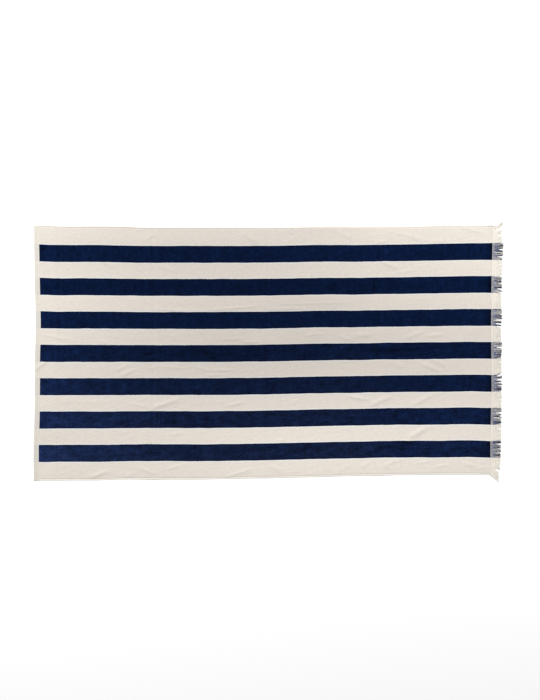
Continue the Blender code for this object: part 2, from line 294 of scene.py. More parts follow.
# %% Creases and pressed folds
CREASES = table(
    "along across heading length width rise",
    # left of the middle: the strongest, its short arm, and a long faint wave from the hem
    (509, -195, 19, 130, 24, 2.7), (408, -202, -13, 90, 15, 1.2), (192, -188, 0, 300, 16, 0.5),
    # by the left hem, and three side by side
    (27, -43, 42, 75, 18, 3), (85, 61, -10, 130, 15, 1.3), (268, 41, -28, 50, 14, 1.8),
    (342, -55, 27, 75, 13, 1.8), (360, -76, 24, 80, 15, 1.9), (388, -88, 20, 50, 13, 1),
    # along the far side
    (446, 450, 37, 76, 20, 1.1), (838, 452, -40, 90, 17, 3), (1004, 443, 35, 50, 16, 1),
    (1207, 459, -27, 85, 16, 2.1), (1470, 449, -24, 90, 17, 2.2),
    # in the open cloth, towards the fringe
    (1378, 341, -28, 80, 18, 3.2), (785, -197, 13, 90, 16, 1.7), (1543, -66, -27, 85, 17, 2.8),
    (1574, -46, -27, 80, 17, 2.4), (1342, -199, 24, 115, 23, 2), (1515, -192, 28, 112, 25, 2.1),
    (1502, -320, 32, 112, 26, 3.1), (1328, -384, 42, 75, 16, 3),
    # along the near side
    (256, -466, 20, 92, 20, 2), (545, -443, 15, 85, 14, 1.2), (794, -468, 17, 115, 16, 1.5),
    (1389, -443, 22, 90, 14, 1.2),
    # fainter ones, from the far side to the near one
    (53, 326, 45, 50, 14, 1), (88, 379, 45, 45, 14, 1.6), (290, 343, -38, 60, 15, 2.4),
    (614, 388, 41, 52, 16, 1.2), (516, 330, -27, 60, 15, 1.6), (1348, 430, 10, 44, 16, 1.6),
    (1411, 465, -12, 72, 16, 0.9), (1560, 432, -3, 120, 16, 0.9), (1652, 449, -62, 60, 20, 2.2),
    (1712, 469, -17, 95, 15, 1.8), (1440, 313, 10, 80, 12, 1.4), (1552, 255, 40, 62, 20, 1.2),
    (550, 168, -3, 240, 12, 1.1), (776, 176, 4, 240, 12, 1.5), (970, 172, 0, 180, 12, 1.2),
    (1090, 191, 1, 360, 10, 1.1), (540, 63, -40, 40, 15, 1.6), (770, 56, 2, 140, 13, 1.1),
    (845, 44, -2, 90, 12, 1.5), (1087, 69, 3, 90, 15, 1.2), (1211, 52, -25, 60, 14, 2.2),
    (1282, 65, 0, 80, 21, 1.9), (1478, 61, 21, 84, 18, 1.8), (1560, 60, 8, 80, 18, 1.8),
    (466, -56, 14, 55, 10, 1), (537, -54, -5, 110, 10, 1.2), (654, -60, -14, 90, 11, 1.2),
    (728, -66, 0, 100, 12, 1.3), (705, -84, 2, 90, 10, 1.2), (1415, -55, -33, 56, 14, 2.2),
    (700, -190, 2, 200, 12, 0.5), (1020, -190, 33, 50, 12, 1.6), (1258, -182, -13, 115, 15, 2),
    (556, -313, 14, 62, 16, 0.8), (955, -345, 18, 74, 18, 0.9), (1690, -335, 30, 40, 16, 0.8),
    (1392, -378, 18, 200, 18, 1.6), (120, -466, -30, 60, 12, 0.9), (375, -472, 30, 45, 14, 1.3),
    (442, -456, -21, 100, 15, 1.3), (845, -452, 60, 30, 12, 1.2), (945, -452, -25, 60, 16, 1.2),
    (1010, -468, 5, 80, 12, 0.5), (1210, -458, 38, 55, 14, 1.3), (1290, -448, 35, 50, 14, 1.5),
    (1385, -460, -40, 42, 13, 1.5), (1520, -440, 8, 90, 12, 1), (1590, -455, 12, 80, 12, 1.2),
    (1700, -450, -15, 70, 14, 1.4), (1740, -462, 12, 60, 12, 1.2),
)
PRESSED_FOLDS = table("along rise", (95, 0.5), (461, 1.2), (908, 1), (1344, 1.2))
FOLD_REACH = 30.0
GROOVE_DEPTH = 0.5  # mm, never more than the fold's rise
GROOVE_WIDTH = 8.0

RIPPLE_SPACING = 46.0  # the cloth's own unevenness between the creases
RIPPLE_FRACTAL = (0.9, 2.2, 3)  # how fast its finer waves fade, how much finer, how many
RIPPLE_RISE = 0.8
EDGE_REST = 25.0  # the long edges rest on the ground from here out
CREASE_SCALE = 1.25  # the creases' heights, against their table


def ridge(crease, along, across):
    """Height that one crease gives, fading to its ends and its two sides."""
    angle = math.radians(crease.heading)
    dx, dy = along - crease.along, across - crease.across
    run = dx * math.cos(angle) + dy * math.sin(angle)
    aside = dy * math.cos(angle) - dx * math.sin(angle)
    fade = np.clip(1.0 - (2.0 * run / crease.length) ** 2, 0.0, 1.0)
    return CREASE_SCALE * crease.rise * fade * np.exp(-2.0 * (2.0 * aside / crease.width) ** 2)


def ripple(along, across):
    """Slight unevenness of the whole cloth, from 0 to RIPPLE_RISE."""
    spots = zip(along.ravel() / RIPPLE_SPACING, across.ravel() / RIPPLE_SPACING)
    rough = [noise.fractal(Vector((x, y, 0.0)), *RIPPLE_FRACTAL) for x, y in spots]
    level = 0.5 + 0.5 * np.clip(np.array(rough), -1.0, 1.0)
    return RIPPLE_RISE * level.reshape(along.shape)


def cloth_lift(along, across):
    """Height of the cloth's underside over the ground."""
    from_edge = TOWEL_WIDTH / 2 - np.abs(across)
    lift = ripple(along, across) * np.clip(from_edge / EDGE_REST, 0.0, 1.0)
    for crease in CREASES:
        lift = lift + ridge(crease, along, across)
    for fold in PRESSED_FOLDS:
        away = along - fold.along
        swell = fold.rise * np.exp(-(away / FOLD_REACH) ** 2)
        lift = lift + swell - GROOVE_DEPTH * np.exp(-(away / GROOVE_WIDTH) ** 2)
    return lift


print("creases:", len(CREASES), "and", len(PRESSED_FOLDS), "pressed folds")

# %% [markdown]
# ## The towel cloth
#
# The cloth is one sheet about 3 mm thick. Its flat shape is a grid, close enough to
# carry the creases, and each point is moved to its place. Solidify then gives it
# its thickness, from a vertex group, since the hems and the flat heading are
# thinner than the pile. A UV map keeps each point's place on the flat cloth, in
# metres, so that the stripes follow the cloth however it lies.

# %% Sheets of cloth
def grid_places(start, end, step):
    """Evenly spaced places from start to end, about a step apart, both included."""
    return list(np.linspace(start, end, round((end - start) / step) + 1))


def cloth_mesh(name, columns, rows):
    """A flat grid with a UV map that keeps its flat places in metres."""
    along, across = np.meshgrid(columns, rows, indexing="ij")
    count = len(rows)
    verts = np.column_stack([along.ravel(), across.ravel(), np.zeros(along.size)])
    faces = []
    for i in range(len(columns) - 1):
        for here in range(i * count, (i + 1) * count - 1):
            faces.append((here, here + count, here + count + 1, here + 1))
    data = bpy.data.meshes.new(name)
    data.from_pydata(verts.tolist(), [], faces)
    lie = data.uv_layers.new(name="lie")
    corners = np.zeros(len(data.loops), dtype=np.int32)
    data.loops.foreach_get("vertex_index", corners)
    lie.data.foreach_set("uv", (verts[corners, :2] * MM).ravel())
    return data, along.ravel(), across.ravel()


def finish_piece(piece):
    """Put the mesh that a piece's modifiers give in their place, shaded smooth."""
    graph = bpy.context.evaluated_depsgraph_get()
    shaped = piece.evaluated_get(graph)
    piece.data = bpy.data.meshes.new_from_object(shaped, preserve_all_data_layers=True, depsgraph=graph)
    piece.modifiers.clear()
    piece.vertex_groups.clear()
    piece.data.shade_smooth()


def lay_sheet(data, places, thicknesses, full):
    """A sheet with its points laid in their places, thickened upwards at each by its own amount."""
    data.vertices.foreach_set("co", (np.column_stack(places) * MM).ravel())
    piece = new_object(data.name, data)
    group = piece.vertex_groups.new(name="thickness")
    for index, thick in enumerate(thicknesses):
        group.add([index], min(float(thick) / full, 1.0), 'REPLACE')
    shell = piece.modifiers.new("thickness", 'SOLIDIFY')
    shell.thickness = full * MM
    shell.offset = 1.0
    shell.vertex_group = group.name
    finish_piece(piece)
    return piece


# %% Build the cloth
# Each row says how thick the cloth is, so far in from its edge.
LEFT_HEM_PROFILE = table(
    "inset thick",
    (0, 0.7), (0.6, 1.7), (2.5, 2.2), (7, 2.3), (10.6, 2.1), (11.7, 1.4), (12.8, 1.5), (18.6, 1.4),
    (20, 1.9), (HEM_HEADING, 2.9),
)
SIDE_HEM_PROFILE = table(
    "inset thick",
    (0, 0.4), (0.8, 1), (1.8, 1.6), (2.8, 2.1), (4.2, 2.1), (4.9, 1.9), (SIDE_SEAM, 1.7), (6.6, 2.4),
    (SIDE_HEM, PILE_THICK),
)
PILE_END_PROFILE = table("inset thick", (0, 2.2), (1.5, 2.6), (4.5, PILE_THICK))
COLUMN_STEP = 9.4  # mm between the grid's lines, along the towel
CREAM_ROW_STEP = 3.4  # across it, where the creases show
NAVY_ROW_STEP = 8.2  # and where the dark pile hides them
FOLD_COLUMNS = (-12, -8, -4, 0, 4, 8, 12)
FOLD_CLEAR = 14  # the even columns stop so far from a pressed fold
PILE_UNEVEN = 0.05  # share of the pile's height
PILE_CLUMP = 11.0  # mm, the size of that unevenness


def cloth_thickness(along, across):
    """Thickness of the cloth: the pile, thinner at its edges."""
    left = np.interp(along, *zip(*LEFT_HEM_PROFILE))
    right = np.interp(PILE_LENGTH - along, *zip(*PILE_END_PROFILE))
    side = np.interp(TOWEL_WIDTH / 2 - np.abs(across), *zip(*SIDE_HEM_PROFILE))
    return np.minimum(np.minimum(left, right), side)


def rough_level(along, across, spacing, layer):
    """Seeded unevenness from -1 to 1 at each point, one layer of it for each use."""
    spots = zip(along / spacing, across / spacing)
    return np.array([noise.noise(Vector((x, y, layer))) for x, y in spots])


end_columns = [PILE_LENGTH - edge.inset for edge in reversed(PILE_END_PROFILE)]
open_columns = grid_places(HEM_HEADING, end_columns[0], COLUMN_STEP)[1:-1]
for fold in PRESSED_FOLDS:
    open_columns = [place for place in open_columns if abs(place - fold.along) > FOLD_CLEAR]
    open_columns += [fold.along + step for step in FOLD_COLUMNS]
columns = [edge.inset for edge in LEFT_HEM_PROFILE] + sorted(open_columns) + end_columns

hem_rows = [edge.inset - TOWEL_WIDTH / 2 for edge in SIDE_HEM_PROFILE]
borders = [hem_rows[-1]]
for stripe in range(NAVY_STRIPES):
    middle = STRIPES_MIDDLE + (stripe - NAVY_STRIPES // 2) * STRIPE_PERIOD
    borders += [middle - NAVY_WIDTH / 2, middle + NAVY_WIDTH / 2]
borders.append(-hem_rows[-1])
open_rows = []
for index, (start, end) in enumerate(zip(borders, borders[1:])):
    step = NAVY_ROW_STEP if index % 2 else CREAM_ROW_STEP
    open_rows += grid_places(start, end, step)[1:]
rows = hem_rows + open_rows[:-1] + [-row for row in reversed(hem_rows)]

cloth_data, along, across = cloth_mesh("striped_towel_cloth", columns, rows)
lift = cloth_lift(along, across)
uneven = 1.0 + PILE_UNEVEN * rough_level(along, across, PILE_CLUMP, layer=4.0)
cloth = lay_sheet(cloth_data, [*place_on_ground(along, across), lift],
                  cloth_thickness(along, across) * uneven, PILE_THICK * (1.0 + PILE_UNEVEN))
print("cloth:", len(cloth.data.polygons), "faces, highest lift", round(float(lift.max()), 1), "mm")

# %% [markdown]
# ## Stripes
#
# The stripes are dyed in the yarn: seven navy ones and eight cream, each about
# 64 mm wide. Pile, heading and band carry them, so how far a point is inside a
# navy stripe is worked out once, in a node group that the three materials share.
# It reads the cloth's UV map. Pingpong folds the cloth at each stripe's middle, so
# that one distance serves all seven. A little noise makes the borders wander.

# %% Stripe group
STRIPES_SPREAD = 0.004  # they fan out this much from the towel's middle to its ends
BORDER_NOISES = table(
    "depth spacing",  # mm
    (0.7, 70.0),  # slow wander
    (0.6, 2.2),  # fraying from tuft to tuft
)
NOISE_GAIN = 4  # a noise mostly keeps within a quarter of its mean, a half
BORDER_SOFT = 0.4  # mm


def stripe_group():
    """Node group: Navy is 1 in a navy stripe, Inside how deep in it, and Place where, in mm."""
    tree = bpy.data.node_groups.new("towel stripes", 'ShaderNodeTree')
    for name, kind in (("Navy", 'Float'), ("Inside", 'Float'), ("Place", 'Vector')):
        tree.interface.new_socket(name=name, in_out='OUTPUT', socket_type="NodeSocket" + kind)
    add = partial(add_node, tree)
    place = add(VECTOR, (add('ShaderNodeUVMap', uv_map="lie"), 1 / MM), 'SCALE')
    along_here, across_here, _ = add(SPLIT, (place,)).outputs
    fan = add(MATH, (along_here, -STRIPES_SPREAD * 2 / PILE_LENGTH, 1 + STRIPES_SPREAD), 'MULTIPLY_ADD')
    frayed = add(MATH, (across_here, fan), 'MULTIPLY')
    for border in BORDER_NOISES:
        uneven = add(NOISE, (place, 1 / border.spacing, 1.0))
        frayed = add(MATH, (uneven, NOISE_GAIN * border.depth, frayed), 'MULTIPLY_ADD')
    noise_mean = NOISE_GAIN / 2 * sum(border.depth for border in BORDER_NOISES)
    from_middle = add(MATH, (frayed, STRIPES_MIDDLE + noise_mean), 'SUBTRACT')
    reach = NAVY_STRIPES / 2 * STRIPE_PERIOD
    held = add('ShaderNodeClamp', (from_middle, -reach, reach))
    folded = add(MATH, (held, STRIPE_PERIOD / 2), 'PINGPONG')
    inside = add(MATH, (NAVY_WIDTH / 2, folded), 'SUBTRACT')
    navy = add(RANGE, (inside, -BORDER_SOFT, BORDER_SOFT), 'SMOOTHSTEP')
    add('NodeGroupOutput', (navy, inside, place))
    return tree


stripes = stripe_group()
print("stripe group:", len(stripes.nodes), "nodes")

# %% [markdown]
# ## Cut-pile velour
#
# The face is cotton velour: loops of pile sheared open, matt and deep in colour,
# with no gloss but a soft bloom of fibre ends. Fingers and folding leave patches
# where the pile leans another way and looks lighter or darker. Navy shows that
# most, as strokes of lighter blue. Where two colours meet, the pile parts: the navy
# takes a painted shade along the parting, and the cream beside it a painted
# highlight. Patches that a hand or a fold has left are a table of soft ovals, and
# the same table paints light and shade into the colour: painted shade over the
# middle, along the far hem, at the pile's end and beside creases and folds, and
# painted light over the near side and the left end. The finer unevenness is noise.

# %% Painted light and shade, and where the pile leans another way
# Middle, half-lengths and how much an oval lightens the navy there and, if told, the cream.
FAR = 9000  # mm, past both sides
PAINTED_LIGHT_AND_NAP_PATCHES = table(
    "along across reach_along reach_across navy cream",
    # painted shade over the towel's middle, where the light falls off, and along its far side
    (770, 10, 1290, 900, -0.28, -0.22), (1100, 570, 320, 150, 0, -0.1), (350, 400, 1520, 160, -0.1, -0.09),
    # painted light over the near side and on the navy at the left end, the most at the near left corner,
    # and painted shade towards the fringed end
    (1020, -345, 1095, 395, 0.13, 0.17), (1985, -15, 1600, 470, -0.09, -0.08), (-60, -480, 700, 560, 0.84),
    (-80, 200, 300, 400, 0.2),
    # painted shade along the far hem and at its end by the fringe
    (300, 492, 900, 12, 0, -0.14), (520, 500, 1150, 50, 0, -0.06), (1768, 488, 26, 8, 0, -0.22),
    # at the end of the pile: painted light on the cream and painted shade on the navy
    (1783, 0, 13, FAR, -0.2, 0.03), (1783, 0, 36, FAR, -0.42),
    # painted shade on one side of each pressed fold and a painted highlight on the other, where the pile
    # also lies shut
    (91, 0, 7, FAR, -0.2, -0.01), (66, 0, 24, FAR, 0.08, 0.01), (456, 0, 8, FAR, -0.13, -0.01),
    (469, 0, 8, FAR, 0.08, 0.01), (902, 0, 8, FAR, -0.06, -0.01), (916, 0, 8, FAR, 0.05),
    (1338, 0, 8, FAR, -0.05), (1351, 0, 8, FAR, 0.03, 0.01),
    # painted highlights and shade beside creases in the navy
    (36, 402, 16, 12, -0.6), (66, 391, 18, 18, 0.2), (92, 376, 16, 12, -0.25), (48, -16, 18, 13, 0.4),
    (74, -12, 12, 22, -0.2), (1160, -17, 16, 8, 0.7), (1318, -380, 24, 11, 0.5),
    (1338, -394, 24, 11, -0.35),
    # slight differences from stripe to stripe
    (1100, 190, 300, 60, 0, -0.03), (20, -322, 220, 60, 0, -0.03), (1760, 64, 130, 50, 0, -0.03),
    (905, 64, 130, 50, 0, 0.03), (300, -190, 280, 50, 0, 0.02), (200, -385, 100, 50, -0.22),
    (1050, -385, 130, 50, -0.15), (60, -128, 80, 50, 0.2), (60, 258, 80, 50, -0.12),
    (1600, 386, 130, 50, -0.12), (890, 257, FAR, 50, -0.12),
    # strokes in the fourth navy stripe
    (1400, 4, 215, 11, -0.38), (1375, 25, 48, 9, 0.32), (1205, 20, 34, 9, 0.3), (1568, 2, 24, 8, 0.35),
    (440, -2, 30, 10, -0.32), (672, 5, 32, 8, -0.36), (524, -13, 28, 8, 0.3),
    # painted shade and highlights along the last pressed fold, stripe by stripe
    (1321, 257, 10, 45, -0.32), (1366, 386, 10, 45, 0.24), (1337, 386, 16, 45, -0.14),
    (1278, 128, 12, 45, 0.2), (1160, 257, 20, 40, -0.18), (1547, 137, 16, 14, 0.26),
    # painted shade under the long crease in the nearest stripe
    (1448, -359, 56, 14, -0.62), (1388, -378, 38, 12, -0.4),
    # broad strokes in single stripes
    (265, -386, 110, 50, -0.1), (1600, -257, 240, 60, 0.16), (1610, -386, 220, 50, 0.12),
    (1600, 257, 300, 60, 0.08), (640, 0, 500, 40, -0.12), (1310, -257, 60, 45, -0.14),
    defaults=(0,),
)
PATCHES_BASE_TONE = 0.91  # tone of the pile outside every patch


def painted_light_and_nap_tones(add, place):
    """How light the cream and the navy pile are, from the patches: painted light and shade, and where the
    pile leans.
    """
    tones = [PATCHES_BASE_TONE, PATCHES_BASE_TONE]
    for patch in PAINTED_LIGHT_AND_NAP_PATCHES:
        away = add(VECTOR, (place, (patch.along, patch.across, 0.0)), 'SUBTRACT')
        away = add(VECTOR, (away, (1 / patch.reach_along, 1 / patch.reach_across, 0.0)), 'MULTIPLY')
        weight = add(RANGE, (add(VECTOR, (away,), 'LENGTH'), 1.0, 0.0), 'SMOOTHSTEP')
        for side, shade in enumerate((patch.cream, patch.navy)):
            if shade:
                tones[side] = add(MATH, (weight, shade, tones[side]), 'MULTIPLY_ADD')
    return tones


print("nap patches:", len(PAINTED_LIGHT_AND_NAP_PATCHES))

# %% Navy pile
PILE_NAVY = "#040e26"
PILE_NAVY_LIGHT = "#0c224a"
PILE_LINT = "#3a3a44"  # cream fibre caught in the navy
# Sizes along and across the towel, in mm.
RIB = (9.0, 70.0)  # pile rows that lean together
BLOTCH = (44.0, 22.0)  # rubbed places
STREAK = (60.0, 7.0)  # rows of tufts that lean alike
STROKE = 30.0  # where a hand has stroked the pile
GRAIN = 5.0  # single bunches of tufts
# Tones, as the ends of a range or the depth of a noise.
STROKE_TONES = (0.42, 0.8)
COARSE_SHARE = 0.28  # strokes and ribs, beside the flecks
NAVY_TONES = (0.48, 1.07)
BLOTCH_TONES = (0.3, 0.7, -0.34, 0.34)
GRAIN_DEPTH = 1.0
STREAK_DEPTHS = (1.5, 0.5)  # in the fourth stripe, and in the others
RUBBED_STRIPES = (1, -2)  # blotches set in from here to here, in stripes from the middle
LINT_STRIPES = (1, -3)  # lint does so too
LINT_MOST = 0.08
LINT_WORN = (1250.0, 1450.0, 1.15, 0.5)  # along and share: it thins out towards the fringe


def stretched_noise(add, place, size, **more):
    """Noise in spots of a size along and across, with more of the node's inputs."""
    spots = add(VECTOR, (place, (1 / size[0], 1 / size[1], 0.0)), 'MULTIPLY')
    return add(NOISE, {"Vector": spots, "Scale": 1.0, **more})


def across_stripes(add, across_here, stripes_from_middle, most=1.0):
    """A level that rises from 0 at one stripe to its most at another."""
    ends = [count * STRIPE_PERIOD for count in stripes_from_middle]
    return add(RANGE, (across_here, *ends, 0.0, most))


def navy_pile(add, place, flat, tilted, fleck):
    """Colour of the navy: strokes, ribs and flecks, then lint, and places rubbed light or dark."""
    along_here, across_here, _ = flat
    stroke = add(NOISE, {"Vector": place, "Scale": 1 / STROKE, "Detail": 4.0,
                         "Roughness": 0.6, "Distortion": 0.6})
    stroke_tone = add(RANGE, (stroke, *STROKE_TONES))
    rib = stretched_noise(add, place, RIB, Detail=1.0)
    coarse = add(MATH, (rib, stroke_tone), 'ADD')
    mottle = add(MATH, (coarse, COARSE_SHARE, fleck), 'MULTIPLY_ADD')
    tone = add(RANGE, (mottle, *NAVY_TONES))
    blue = add(MIX, (tone, PILE_NAVY, PILE_NAVY_LIGHT), 'RGBA')

    lint = across_stripes(add, across_here, LINT_STRIPES, LINT_MOST)
    lint = add(MATH, (lint, add(RANGE, (along_here, *LINT_WORN))), 'MULTIPLY')
    blue = add(MIX, (lint, blue, PILE_LINT), 'RGBA')

    grain = add(NOISE, (place, 1 / GRAIN, 1.0, 0.6))
    rubbed = add(MATH, (grain, 2 * GRAIN_DEPTH, -GRAIN_DEPTH), 'MULTIPLY_ADD')
    blotch = stretched_noise(add, tilted, BLOTCH, Roughness=0.6)
    rubbed = add(MATH, (rubbed, add(RANGE, (blotch, *BLOTCH_TONES))), 'ADD')
    nearness = across_stripes(add, across_here, RUBBED_STRIPES)
    rubbed = add(MATH, (rubbed, nearness, 1.0), 'MULTIPLY_ADD')
    streak = stretched_noise(add, tilted, STREAK, Roughness=0.6)
    streak = add(MATH, (streak, 0.5), 'SUBTRACT')
    from_middle = add(MATH, (across_here,), 'ABSOLUTE')
    depth = add(RANGE, (from_middle, NAVY_WIDTH / 2, STRIPE_PERIOD / 2, *STREAK_DEPTHS))
    rubbed = add(MATH, (streak, depth, rubbed), 'MULTIPLY_ADD')
    return add(VECTOR, (blue, rubbed), 'SCALE')


print("navy:", [round(c, 3) for c in linear(PILE_NAVY_LIGHT)[:3]], "in its light strokes")

# %% Velour material
PILE_CREAM = "#e3dbd1"
PILE_CREAM_SHADE = "#dbd3c9"
CREAM_BORDER_HIGHLIGHT = "#e6e6e8"  # cooled by the navy fibres that stray into it, and lightened as a painted highlight where cream ends spread over the parting
# painted shade where the navy pile parts
NAVY_BORDER_SHADE = "#050f2b"
HEM_PALE_PAINTED_LIGHT = "#f2ece1"  # the near hem's rolled edge: paler, bare of pile, and painted lighter where it turns away from the light
FAR_CORNER_PAINTED_SHADE = "#a8927a"  # brown painted shade at the far hem's corner, where it turns
HEM_ROLL = (6.0, 3.5)  # mm from the edge, where that starts and is full
HEM_SHARES = (1.0, 0.12)  # of those two colours
BORDER_REACH = (5.0, 1.0)  # mm from a border, where its colour starts and is full
PARTING = 2.0  # mm, the dip in the pile where two colours meet
CREAM_TONES = (0.36, 0.64)
TUFT = 1.5  # mm
FIBRE = 0.4  # mm
FLECK = (15.0, 6.5)  # mm, small bunches of tufts, the finest that the picture shows
FLECK_TILT = 0.09  # radians that they climb to the right
WRINKLE = (46.0, 15.0)  # mm, shallow wrinkles, finer than the cloth's mesh
WRINKLE_RISE = 1.0  # mm
PILE_RISE = 0.5  # mm, tufts and partings
SPECULAR = 0.03  # open fibre traps almost all of the gloss
VELOUR_FINISH = (0.95, 0.02)  # roughness and sheen


def cotton(name, roughness, sheen):
    """A new material with the plain values of cotton."""
    return new_material(name, {"Roughness": roughness, "Sheen Weight": sheen,
                               "Specular IOR Level": SPECULAR})


def dress(add, shader, colour, *reliefs):
    """Give a shader its colour, and reliefs that are each a height, a strength and mm of rise."""
    normal = {}
    for height, strength, rise in reliefs:
        bump = {"Height": height, "Strength": strength, "Distance": rise * MM, **normal}
        normal["Normal"] = add(BUMP, bump)
    wire(shader, {"Base Color": colour, **normal})


def velour():
    """The pile's material: its two colours with their borders and hems, then its relief."""
    material, add, shader = cotton("cut-pile cotton velour", *VELOUR_FINISH)
    navy, inside, place = add(GROUP, node_tree=stripes).outputs
    tilted = add('ShaderNodeVectorRotate', {"Vector": place, "Angle": -FLECK_TILT},
                 rotation_type='Z_AXIS')
    fleck = stretched_noise(add, tilted, FLECK, Detail=4.0, Roughness=0.7)
    tone = add(RANGE, (fleck, *CREAM_TONES))
    cream = add(MIX, (tone, PILE_CREAM_SHADE, PILE_CREAM), 'RGBA')
    flat = add(SPLIT, (place,)).outputs
    blue = navy_pile(add, place, flat, tilted, fleck)

    # Each pile takes the patches' painted light and shade, and along its border a painted shade on the
    # navy and a painted highlight on the cream.
    piles = []
    for pile, side, border, light_and_nap in zip((cream, blue), (-1, 1), (CREAM_BORDER_HIGHLIGHT, NAVY_BORDER_SHADE),
                                       painted_light_and_nap_tones(add, place)):
        edge = add(RANGE, (inside, *(side * reach for reach in BORDER_REACH)))
        pile = add(MIX, (edge, pile, border), 'RGBA')
        piles.append(add(VECTOR, (pile, light_and_nap), 'SCALE'))
    colour = add(MIX, (navy, *piles), 'RGBA')
    # The near hem's roll is paler and painted lighter, and the far hem's corner takes a brown painted
    # shade.
    for side, hem, most in zip((-1, 1), (HEM_PALE_PAINTED_LIGHT, FAR_CORNER_PAINTED_SHADE), HEM_SHARES):
        ends = [side * (TOWEL_WIDTH / 2 - inset) for inset in HEM_ROLL]
        rolled = add(RANGE, (flat[1], *ends, 0.0, most))
        colour = add(MIX, (rolled, colour, hem), 'RGBA')

    tufts = add('ShaderNodeTexVoronoi', (place, 1 / TUFT))
    fibre = add(NOISE, (place, 1 / FIBRE))
    height = add(MATH, (fibre, 0.5, tufts), 'MULTIPLY_ADD')
    wrinkle = stretched_noise(add, tilted, WRINKLE, Distortion=0.8)
    parting = add(RANGE, (add(MATH, (inside,), 'ABSOLUTE'), 0.0, PARTING), 'SMOOTHSTEP')
    dress(add, shader, colour, (height, 0.5, PILE_RISE), (wrinkle, 1.0, WRINKLE_RISE),
          (parting, 0.25, PILE_RISE))
    return material


velour_material = velour()
print("velour:", len(velour_material.node_tree.nodes), "nodes")

# %% [markdown]
# ## Plain-weave heading
#
# At the left end the same yarns are woven flat, turned under and stitched. Plain
# weave is a checkerboard of small humps, one where each yarn comes up: the product
# of two sines gives that. The navy warp shows through as a slight grey.

# %% Weave and heading material
WEAVE_PITCH = 1.1  # mm from yarn to yarn
WEAVE_FINISH = (0.9, 0.05)
HEADING_CREAM = "#d0cac0"
HEADING_GREY = "#c9c5be"
HEADING_RISE = 0.25  # mm, yarn over yarn
SLUB = 4.0  # mm, thick places in the yarn
SLUB_TONES = (0.2, 0.8, 0.93, 1.04)
HEADING_SHY = 0.6  # mm that the heading stops short of the first pile


def weave_height(add, place):
    """Height of a plain weave, from -1 to 1."""
    waves = []
    for way in add(SPLIT, (place,)).outputs[:2]:
        turn = add(MATH, (way, math.pi / WEAVE_PITCH), 'MULTIPLY')
        waves.append(add(MATH, (turn,), 'SINE'))
    return add(MATH, waves, 'MULTIPLY')


def heading():
    """The heading's material: cream plain weave, greyed by the navy warp."""
    material, add, shader = cotton("plain-weave cotton heading", *WEAVE_FINISH)
    navy, _, place = add(GROUP, node_tree=stripes).outputs
    base = add(MIX, (navy, HEADING_CREAM, HEADING_GREY), 'RGBA')
    slub = add(NOISE, (place, 1 / SLUB, 3.0))
    toned = add(VECTOR, (base, add(RANGE, (slub, *SLUB_TONES))), 'SCALE')
    dress(add, shader, toned, (weave_height(add, place), 0.6, HEADING_RISE))
    return material


cloth.data.materials.append(velour_material)
cloth.data.materials.append(heading())

# Faces whose middle lies in the heading take the second material.
lie = cloth.data.uv_layers["lie"]
heading_faces = 0
for face in cloth.data.polygons:
    middle = sum(lie.data[loop].uv.x for loop in face.loop_indices) / face.loop_total
    if middle < (HEM_HEADING - HEADING_SHY) * MM:
        face.material_index = 1
        heading_faces += 1
print("heading faces:", heading_faces)

# %% [markdown]
# ## The flat woven band
#
# Past the pile the cloth is plain weave for 20 mm: navy and cream warp crossed
# by cream weft, which the eye mixes to grey. The first picks are beaten up close
# and look lighter. The band is a strip of its own, thinner than the pile, and its
# near corner flares out where it has been pulled.

# %% Build the band
BAND_CORNERS = table(
    "side aside reach curve",
    (1, 17.0, 45.0, 1.5),  # the near corner flares out
    (-1, 6.0, 16.0, 1.0),  # the far one is drawn in
)
BAND_COLUMNS = 9
BAND_ROW_STEP = 3.0
BAND_WAVE = 0.35  # mm
BAND_WAVE_SPACING = 8.0
BAND_STEP = 0.9  # mm that the band's inner edge is held up by the pile


def band_flare(across):
    """How far towards -Y the corners of the band's outer edge move."""
    moved = 0.0
    for end in BAND_CORNERS:
        fade = np.clip(1.0 - (TOWEL_WIDTH / 2 + end.side * across) / end.reach, 0.0, 1.0)
        moved = moved + end.aside * fade ** end.curve
    return moved


band_columns = np.linspace(-BAND_TUCK, BAND_WIDTH, BAND_COLUMNS) + PILE_LENGTH
band_rows = grid_places(-TOWEL_WIDTH / 2, TOWEL_WIDTH / 2, BAND_ROW_STEP)
band_data, band_along, band_across = cloth_mesh("flat_woven_band", band_columns, band_rows)
past = band_along - PILE_LENGTH
end_x, end_y = place_on_ground(np.full_like(band_across, PILE_LENGTH), band_across)
band_wave = rough_level(past, band_across, BAND_WAVE_SPACING, layer=9.0)
band_lift = BAND_WAVE * (1.0 + band_wave) / 2
band_lift += BAND_STEP * np.clip(1.0 - past / BAND_WIDTH, 0.0, 1.0) ** 2
band_places = [end_x + past, end_y - band_flare(band_across) * past / BAND_WIDTH, band_lift]
band = lay_sheet(band_data, band_places, np.full(len(past), BAND_THICK), BAND_THICK)
print("band:", len(band.data.polygons), "faces")

# %% Band material
BAND_CREAM = "#ded8ce"
BAND_NAVY = "#3b496a"
BAND_RISE = 0.3  # mm, yarn over yarn
END_PAINTED_SHADE = (0.0, 340.0, 0.955, 1.055)  # mm from the middle, and tones: painted shade, darker towards the middle where the light falls off
PICK = (14.0, 2.8)  # mm, stretches where one yarn shows
PICK_WEAVE = 0.16  # how much the weave's humps add to them
WARP_SHOWS = (0.2, 0.8, 0.45, 0.95)  # share of navy that shows beside a navy stripe
FIRST_PICKS = (1.5, 4.0)  # mm past the pile, the lighter start
FIRST_SHARE = 0.85
CORNER_SHADE_REACH = (6.0, 2.0)  # mm from the far side, where the brown painted shade sets in and is full
CORNER_SHADE_SHARE = 0.7


def painted_shade_by_side(add, colour, across):
    """A cream with painted shade: darker in the middle of the fringed end, lighter at its sides."""
    from_middle = add(MATH, (across,), 'ABSOLUTE')
    shade = add(RANGE, (from_middle, *END_PAINTED_SHADE), 'SMOOTHSTEP')
    return add(VECTOR, (colour, shade), 'SCALE')


